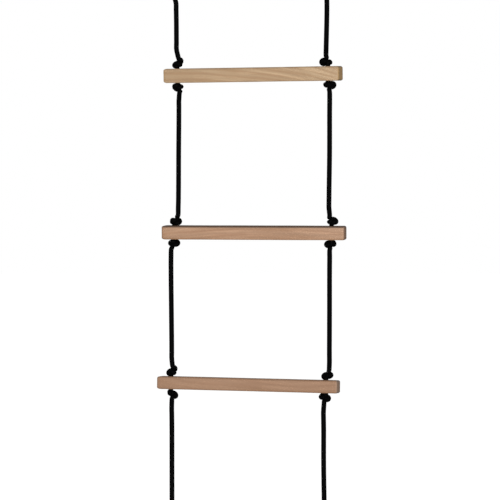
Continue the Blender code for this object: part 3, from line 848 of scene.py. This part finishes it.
def free_rope(name, line, bodies, material, node, knotted):
    """A stretch of rope from the knot that it hangs from. It moves with its body if it has one; with two
    bodies it is baked in place.
    """
    line = even_line(np.array(line), RING_STEP)
    piece = rope_piece(name, line, material, free_rope_radii(line, knotted))
    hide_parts(node)
    if len(bodies) == 2:
        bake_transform(piece)
    else:
        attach(piece, bodies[0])


def add_melted_end(name, tip, radius, material, body):
    """The end of a rope where it was cut hot: its fibres are fused into a smooth, wider cap."""
    profile = [(0, -0.0021), (0.45, -0.0020), (0.78, -0.0016), (0.98, -0.0007), (1.05, 0.0005)]
    profile += [(1.05, 0.0018), (1.0, 0.0030), (0.90, 0.0036), (0, 0.0036)]
    mesh = turned_mesh(name, [(share * radius, height) for share, height in profile], MELTED_SIDES)
    for vert in mesh.vertices:
        around = math.atan2(vert.co.y, vert.co.x)
        vert.co.xy *= 1 + 0.025 * math.sin(3 * around + 1.0) + 0.015 * math.sin(5 * around)
    piece = add_piece(name, mesh, material, Matrix.Translation(tip))
    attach(piece, body)
    return piece


def wraps_line(centre):
    """The wraps of the knot that closes an eye, from its hanging end up and in at the top."""
    low, high = -WRAPS_HALF_HEIGHT, WRAPS_HALF_HEIGHT
    wraps = helix(WRAP_RADIUS, math.pi / 2, WRAP_TURNS, WRAP_STEPS, low, high)[1:]
    x, y, z = wraps[-1]
    tucked = [(0.7 * x - 0.001, 0.5 * y, z + 0.0008), (0.2 * x, 0.1 * y, z - 0.002)]
    return smooth_line([Vector(p) + centre for p in (*HANGING_END, *wraps, *tucked)], RING_STEP)


def eye_line(centre, rod):
    """The eye: out of the knot, round the hook's bar and back into the knot."""
    foot = Vector((rod.x, EYE_FOOT, centre.z + EYE_FOOT_ABOVE))
    leg = [foot, *(rod + Vector((0, y, z)) for y, z in EYE_LEGS)]
    bow = [rod + Vector((0, y, z)) for y, z in arc(EYE_BOW_RADIUS, 0, math.pi, EYE_BOW_STEPS)]
    other_leg = [Vector((p.x, -p.y, p.z)) for p in reversed(leg)]
    return smooth_line([*leg, *bow, *other_leg], RING_STEP)


def add_eye(side_name, side, rope, melted):
    """An eye round its hook's bar, closed by the wraps of its knot."""
    centre = middle_of(f"eye_knot_{side_name}")
    rod = Vector((side * HOOK_SPACING / 2, 0, -HOOK_INSIDE_LENGTH - ROD_RADIUS))
    line = wraps_line(centre)
    wraps = rope_piece(f"eye_wraps_{side_name}", line, rope, WRAP_ROPE_RADIUS)
    ride_for(wraps, f"eye_knot_{side_name}", "rope_eyes")
    tip = add_melted_end(f"eye_end_{side_name}", line[0], WRAP_ROPE_RADIUS, melted, "rope_eyes")
    line = eye_line(centre, rod)
    node = f"rope_eye_{side_name}"
    free_rope(f"eye_{side_name}", line, ["rope_eyes"], rope, node, (False, False))


def add_bay(number, side_name, knots, rope):
    """One side's rope down to a rung, with the knots at its two ends."""
    if number == 1:
        hinge = middle_of(f"eye_knot_{side_name}")
        hanger = "rope_eyes"
        start = [hinge - Vector((0, 0, below)) for below in LEAVES_EYE_KNOT]
        pieces = []
    else:
        key = (number - 1, "lower", side_name)
        hinge, strand = knots[key]
        hanger = f"lower_knots_{number - 1}"
        start = rope_side(hinge, strand)[::STRAND_STRIDE]
        pieces = [add_knot(key, knots, rope, hanger)]
    key = (number, "upper", side_name)
    centre, strand = knots[key]
    end = rope_side(centre, strand)[::-STRAND_STRIDE]
    pieces.append(add_knot(key, knots, rope, f"upper_knots_{number}"))
    between = ROPE_ROUTES[side_name, number]
    route = [hinge, *(hinge.lerp(centre, share) + Vector((x, 0, 0)) for share, x in between), centre]
    top, bottom = hinge.z - CLEAR_OF_KNOT, centre.z + CLEAR_OF_KNOT
    clear = [p for p in smooth_line(route, ROUTE_STEP) if bottom < p[2] < top]
    line = smooth_line([*start, *clear, *end], RING_STEP)
    node = f"rope_{number}_{side_name}"
    knotted = (number > 1, True)
    free_rope(f"rope_run_{number}_{side_name}", line, (hanger, node), rope, node, knotted)


def add_core(number, side_name, side, rope):
    """The rope inside a rung's hole, which reaches a little way into the knots above and below."""
    reach = RUNGS[number - 1]["height"] / 2 + CORE_INTO_KNOT
    ends = [rung_frame(number) @ Vector((side * HOLE_PITCH / 2, 0, z)) for z in (reach, -reach)]
    line = smooth_line(ends, RING_STEP)
    core = rope_piece(f"rope_core_{number}_{side_name}", line, rope, CORE_RADIUS)
    ride_for(core, f"rope_in_rung_{number}_{side_name}", f"rung_{number}")


def add_tail(side_name, knots, rope, melted):
    """The last knot, under the lowest rung, and the short cut end of rope that hangs from it."""
    key = (len(RUNGS), "lower", side_name)
    body = f"rung_{len(RUNGS)}"
    centre, strand = knots[key]
    knot = add_knot(key, knots, rope, body)
    node = f"rope_tail_{side_name}"
    low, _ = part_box(node)
    heart = [centre + Vector((0, 0, above)) for above in TAIL_HEART]
    drop = [centre + Vector((0, 0, below)) for below in TAIL_DROP]
    drop.append(Vector((centre.x, centre.y, low.z + TAIL_END_ABOVE)))
    through = rope_side(centre, strand)[STRAND_STRIDE::STRAND_STRIDE]
    line = smooth_line([*heart, *through, *drop], RING_STEP)
    end = add_melted_end(f"tail_end_{side_name}", line[-1], ROPE / 2, melted, body)
    free_rope(f"tail_{side_name}", line, [body], rope, node, (True, False))


def add_ropes(rope, melted):
    shape = tight_knot() * np.array(KNOT_SCALE)
    knots = {key: placed_knot(*key, shape) for key in KNOTS}
    for side_name, side in SIDES:
        add_eye(side_name, side, rope, melted)
        for number in range(1, len(RUNGS) + 1):
            add_bay(number, side_name, knots, rope)
            add_core(number, side_name, side, rope)
        add_tail(side_name, knots, rope, melted)


# ---- solids


def finished(bm, name):
    bmesh.ops.recalc_face_normals(bm, faces=bm.faces)
    mesh = bpy.data.meshes.new(name)
    bm.to_mesh(mesh)
    bm.free()
    mesh.shade_smooth()
    mesh.set_sharp_from_angle(angle=SHARP_EDGE)
    return mesh


def turned_mesh(name, profile, sides):
    """A solid turned about Z from (radius, height) points that start and end on the axis."""
    bm = bmesh.new()
    rings = []
    for radius, height in profile:
        turns = 1 if radius == 0 else sides
        angles = [2 * math.pi * i / turns for i in range(turns)]
        rings.append([bm.verts.new((radius * math.cos(a), radius * math.sin(a), height)) for a in angles])
    for low, high in zip(rings, rings[1:]):
        for i in range(sides):
            below = [low[i % len(low)], low[(i + 1) % len(low)]]
            over = [high[(i + 1) % len(high)], high[i % len(high)]]
            bm.faces.new(list(dict.fromkeys(below + over)))
    return finished(bm, name)


def cylinder_mesh(name, radius, low, high, sides):
    return turned_mesh(name, [(0, low), (radius, low), (radius, high), (0, high)], sides)


def box_mesh(name, low, high, rounding=0):
    bm = bmesh.new()
    bmesh.ops.create_cube(bm, size=1.0)
    for vert in bm.verts:
        vert.co = [a + (b - a) * (c + 0.5) for a, b, c in zip(low, high, vert.co)]
    if rounding:
        edges = bm.edges[:]
        bmesh.ops.bevel(bm, geom=edges, offset=rounding, segments=3, profile=0.5, affect="EDGES")
    return finished(bm, name)


def carved(mesh, tools):
    """The mesh with other meshes cut from it or joined to it: (mesh, matrix, operation)."""
    target = add_object("carved", mesh)
    used = [target]
    for tool_mesh, matrix, operation in tools:
        tool = add_object("tool", tool_mesh)
        tool.matrix_world = matrix
        cut = target.modifiers.new("cut", "BOOLEAN")
        cut.operation = operation
        cut.solver = "EXACT"
        cut.object = tool
        used.append(tool)
    bpy.context.view_layer.update()
    made = bpy.data.meshes.new_from_object(target.evaluated_get(bpy.context.evaluated_depsgraph_get()))
    for thing in used:
        bpy.data.objects.remove(thing)
    made.shade_smooth()
    made.set_sharp_from_angle(angle=SHARP_EDGE)
    return made


# ---- rungs


def rounded_section(half_y, half_z, radius, across=5, corner=6):
    """Points round a rectangle with round corners."""
    found = []
    for quarter, (sy, sz) in enumerate(((1, 1), (-1, 1), (-1, -1), (1, -1))):
        across_y, across_z = sy * (half_y - radius), sz * (half_z - radius)
        round_part = arc(radius, math.pi / 2 * quarter, math.pi / 2, corner)
        found += [(across_y + y, across_z + z) for y, z in round_part]
    whole = []
    for i, (y, z) in enumerate(found):
        next_y, next_z = found[(i + 1) % len(found)]
        whole.append((y, z))
        if i % (corner + 1) == corner:
            for k in range(1, across):
                share = k / across
                whole.append((y + (next_y - y) * share, z + (next_z - z) * share))
    return whole


def rounded_end(length):
    """(distance from the bar's end, how much lower the bar is there), from the inside outwards."""
    angles = [math.pi / 2 * i / 8 for i in range(9)]
    return [(length * (1 - math.sin(a)), END_EASING * (1 - math.cos(a))) for a in angles]


def rung_mesh(name, rung, seed):
    """A square bar with rounded edges and ends, planed by hand, so it isn't perfectly even."""
    half_x, half_y, half_z = RUNG_LENGTH / 2, RUNG_DEPTH / 2, rung["height"] / 2
    left_length, right_length = END_LENGTHS
    steps = 56
    first, last = left_length - half_x, half_x - right_length
    stations = [(x - half_x, inset) for x, inset in reversed(rounded_end(left_length))]
    stations += [(first + (last - first) * i / steps, 0.0) for i in range(1, steps)]
    stations += [(half_x - x, inset) for x, inset in rounded_end(right_length)]
    bm = bmesh.new()
    rings = []
    for x, inset in stations:
        bow = 0.00025 * math.sin(9.0 * x + seed)
        swell = 1 + 0.004 * math.sin(21.0 * x + 2.0 * seed) + 0.003 * math.sin(55.0 * x + seed)
        edge = RUNG_EDGE_RADIUS - 0.9 * inset
        section = rounded_section(half_y - 0.45 * inset, half_z - inset, edge)
        rings.append([bm.verts.new((x + rung["off"], y * swell + bow, z * swell)) for y, z in section])
    for low, high in zip(rings, rings[1:]):
        for k in range(len(low)):
            after = (k + 1) % len(low)
            bm.faces.new((low[k], low[after], high[after], high[k]))
    bm.faces.new(reversed(rings[0]))
    bm.faces.new(rings[-1])
    return finished(bm, name)


def hole_drill(half):
    """What a rope hole takes out of a rung of this half height: a bore with eased rims."""
    top = half + DRILL_BEYOND
    wide = HOLE_RADIUS + HOLE_EASING + DRILL_BEYOND
    upper = [(HOLE_RADIUS, half - HOLE_EASING), (wide, top), (0, top)]
    lower = [(radius, -height) for radius, height in reversed(upper)]
    return turned_mesh("drill", lower + upper, FINE_SIDES)


def add_rungs():
    for number, (rung, wood) in enumerate(zip(RUNGS, WOODS), 1):
        half = rung["height"] / 2
        drill = hole_drill(half)
        places = [Matrix.Translation((side * HOLE_PITCH / 2, 0, 0)) for _, side in SIDES]
        bar = rung_mesh(f"rung_{number}_bar", rung, 1.7 * number)
        mesh = carved(bar, [(drill, place, "DIFFERENCE") for place in places])
        material = beech(f"beech_{number}", wood, 3.1 * number, half)
        piece = add_piece(f"rung_bar_{number}", mesh, material, rung_frame(number))
        ride_for(piece, f"rung_{number}", f"rung_{number}")


# ---- snap hooks


def flank_slope():
    between_bows = HOOK_INSIDE_LENGTH + 2 * ROD_RADIUS - TOP_BOW_RADIUS - BOTTOM_BOW_RADIUS
    return math.asin((TOP_BOW_RADIUS - BOTTOM_BOW_RADIUS) / between_bows)


def bow_centres():
    top = Vector((0, 0, ROD_RADIUS - TOP_BOW_RADIUS))
    bottom = Vector((0, 0, -HOOK_INSIDE_LENGTH - ROD_RADIUS + BOTTOM_BOW_RADIUS))
    return top, bottom


def on_gate_flank(distance):
    """A point down the middle of the gate's flank, on the +X side."""
    slope = flank_slope()
    start = bow_centres()[0] + TOP_BOW_RADIUS * Vector((math.cos(slope), 0, -math.sin(slope)))
    return start + distance * Vector((-math.sin(slope), 0, -math.cos(slope)))


def hook_bar_line():
    """From the nose over the top bow, down the spine and round the bottom bow to the shoulder."""
    slope = flank_slope()
    top, bottom = bow_centres()
    bows = (
        (top, TOP_BOW_RADIUS, -slope, math.pi + 2 * slope, TOP_BOW_STEPS),
        (bottom, BOTTOM_BOW_RADIUS, math.pi + slope, math.pi - 2 * slope, BOTTOM_BOW_STEPS),
    )
    points = [on_gate_flank(NOSE_AT), on_gate_flank(NOSE_AT / 2)]
    for centre, *bow in bows:
        points += [centre + Vector((x, 0, z)) for x, z in arc(*bow)]
    points.append(on_gate_flank(SHOULDER_AT))
    return np.array([list(p) for p in points])


def along_gate(distance):
    """A frame whose Z runs up the gate's middle line, at this distance down the flank."""
    return Matrix.Translation(on_gate_flank(distance)) @ Matrix.Rotation(flank_slope(), 4, "Y")


def across_gate(distance):
    return along_gate(distance) @ Matrix.Rotation(math.pi / 2, 4, "X")


def pin_hole():
    return cylinder_mesh("pin_hole", PIN_HOLE_RADIUS, -PIN_HOLE_REACH, PIN_HOLE_REACH, COARSE_SIDES)


def lug_mesh():
    thick, edge = LUG_HALF_THICKNESS, LUG_EDGE
    upper = [(LUG_RADIUS, thick - edge), (LUG_RADIUS - edge, thick), (0, thick)]
    lower = [(radius, -height) for radius, height in reversed(upper)]
    return turned_mesh("lug", lower + upper, FINE_SIDES)


def hook_bar_mesh():
    """The bent bar, with the nose's tongue in the gate and the lug that the gate turns on."""
    thick = LUG_HALF_THICKNESS
    bar = tube_mesh("bar", hook_bar_line(), ROD_RADIUS, ROD_SIDES, ROD_DOME)
    neck_low = (-LUG_RADIUS, -thick, GATE_PIN_AT - SHOULDER_AT - LUG_INTO_BAR)
    neck = box_mesh("neck", neck_low, (LUG_RADIUS, thick, 0))
    tongue_low = (-TONGUE_HALF_WIDTH, -thick, -TONGUE_BELOW)
    tongue = box_mesh("tongue", tongue_low, (TONGUE_HALF_WIDTH, thick, TONGUE_ABOVE), LUG_EDGE)
    tools = [
        (neck, along_gate(GATE_PIN_AT), "UNION"),
        (lug_mesh(), across_gate(GATE_PIN_AT), "UNION"),
        (tongue, along_gate(GATE_TOP_AT), "UNION"),
        (pin_hole(), across_gate(GATE_PIN_AT), "DIFFERENCE"),
    ]
    return carved(bar, tools)


def spring_bore():
    return cylinder_mesh("spring_bore", SPRING_BORE_RADIUS, SPRING_BORE_FROM, SPRING_BORE_TO, COARSE_SIDES)


def gate_mesh():
    """The gate, round at its foot, slotted for the lug and the nose and bored for its spring."""
    top = GATE_PIN_AT - GATE_TOP_AT
    profile = []
    for i in range(GATE_DOME_STEPS + 1):
        angle = math.pi / 2 * i / GATE_DOME_STEPS
        profile.append((GATE_RADIUS * math.sin(angle), -GATE_RADIUS * math.cos(angle)))
    profile += [(GATE_RADIUS, top / 2), (GATE_RADIUS, top - GATE_EDGE)]
    profile += [(GATE_RADIUS - GATE_EDGE / 3, top - GATE_EDGE / 3), (GATE_RADIUS - GATE_EDGE, top), (0, top)]
    wide = GATE_RADIUS + SLOT_OVERSIZE
    half = SLOT_HALF_WIDTH
    nose_low = (-wide, -half, top - NOSE_SLOT_DEPTH)
    still = Matrix.Identity(4)
    tools = [
        (box_mesh("lug_slot", (-wide, -half, -wide), (wide, half, LUG_SLOT_DEPTH)), still, "DIFFERENCE"),
        (box_mesh("nose_slot", nose_low, (wide, half, top + SLOT_OVERSIZE)), still, "DIFFERENCE"),
        (spring_bore(), still, "DIFFERENCE"),
        (pin_hole(), Matrix.Rotation(math.pi / 2, 4, "X"), "DIFFERENCE"),
    ]
    mesh = carved(turned_mesh("gate", profile, FINE_SIDES), tools)
    mesh.transform(along_gate(GATE_PIN_AT))
    return mesh


def pin_mesh():
    """The gate's pin, with a low crown at each end."""
    reach = PIN_HALF_LENGTH
    head = [(0, -reach), (PIN_CROWN_RADIUS, PIN_CROWN_EDGE - reach), (PIN_RADIUS, PIN_HEAD_HEIGHT - reach)]
    profile = head + [(radius, -height) for radius, height in reversed(head)]
    mesh = turned_mesh("pin", profile, COARSE_SIDES)
    mesh.transform(across_gate(GATE_PIN_AT))
    return mesh


def spring_mesh():
    steps = SPRING_TURNS * SPRING_TURN_STEPS
    line = helix(SPRING_RADIUS, 0, SPRING_TURNS, steps, SPRING_FROM, SPRING_FROM + SPRING_HEIGHT)
    mesh = tube_mesh("spring", np.array(line), SPRING_WIRE_RADIUS, SPRING_WIRE_SIDES)
    mesh.transform(along_gate(GATE_PIN_AT))
    return mesh


def plunger_mesh():
    """The push pin that the spring presses onto the lug."""
    profile = [(share * PLUNGER_RADIUS, PLUNGER_TIP + height) for share, height in PLUNGER_DOME]
    profile.append((PLUNGER_RADIUS, PLUNGER_TOP - PLUNGER_EDGE))
    profile.append((PLUNGER_RADIUS - PLUNGER_EDGE, PLUNGER_TOP))
    profile.append((0, PLUNGER_TOP))
    mesh = turned_mesh("plunger", profile, COARSE_SIDES)
    mesh.transform(along_gate(GATE_PIN_AT))
    return mesh


def add_hook_piece(name, mesh, side_name, side, material, body, node):
    if side < 0:
        mesh.transform(Matrix.Scale(-1, 4, (1, 0, 0)))
        mesh.flip_normals()
    place = Matrix.Translation((side * HOOK_SPACING / 2, 0, 0))
    piece = add_piece(f"{name}_{side_name}", mesh, material, place)
    ride_for(piece, f"{node}_{side_name}", body)


def add_hooks(steel, spring_steel):
    for side_name, side in SIDES:
        gate = f"gate_{side_name}"
        parts = (
            ("hook_bar", hook_bar_mesh(), steel, "hooks", "hook_body", "hook_steel"),
            ("hinge_pin", pin_mesh(), steel, "hooks", "gate_pin", "hook_steel"),
            ("snap_gate", gate_mesh(), steel, gate, "hook_gate", "hook_steel"),
            ("spring", spring_mesh(), spring_steel, gate, "gate_spring", "spring_steel"),
            ("push_pin", plunger_mesh(), steel, gate, "gate_plunger", "hook_steel"),
        )
        for name, mesh, material, body, node, slot in parts:
            add_hook_piece(name, mesh, side_name, side, material, body, node)


# ---- assembly


add_camera()
add_ropes(black_braid("black_braid"), melted_cord("melted_rope_end"))
add_rungs()
add_hooks(
    plated_steel("zinc_plated_steel", (0.60, 0.61, 0.63), 0.27),
    plated_steel("spring_steel", (0.42, 0.43, 0.45), 0.33),
)
add_world()
add_floor()
add_front_light()

bpy.context.scene.view_settings.view_transform = "Standard"
